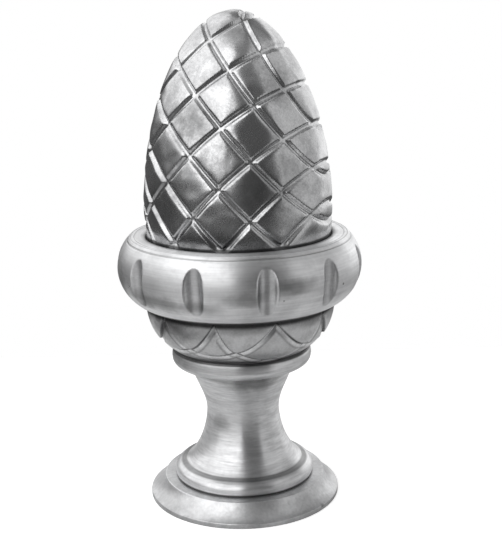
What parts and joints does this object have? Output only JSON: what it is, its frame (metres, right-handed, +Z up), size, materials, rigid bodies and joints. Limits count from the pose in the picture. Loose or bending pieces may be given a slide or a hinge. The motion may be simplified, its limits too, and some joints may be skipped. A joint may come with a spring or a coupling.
{
  "type": "acorn post finial",
  "caption": "Steel acorn finial for the top of a post: a grooved acorn in a gouged collar, on a bowl with scales, a turned pedestal and a round flange.",
  "frame": {"origin": "centre of the flange's underside, where the finial stands on its post", "axes": "+Z up along the axis that all five pieces share, -Y towards the side shown in the picture"},
  "size_m": [0.2, 0.1999, 0.403],
  "materials": {
    "flange": "pale matt steel, cast and lightly brushed",
    "pedestal": "turned and brushed steel with fine rings",
    "scale_bowl": "bare steel, brushed scales with dark grooves",
    "gouged_collar": "turned and brushed steel with small casting pits",
    "acorn": "mottled bare steel, part polished, with dark grooves"
  },
  "bodies": {
    "root": {"flange": "flange", "pedestal": "pedestal", "scale_bowl": "scale_bowl", "gouged_collar": "gouged_collar", "acorn": "acorn"}
  },
  "joints": []
}
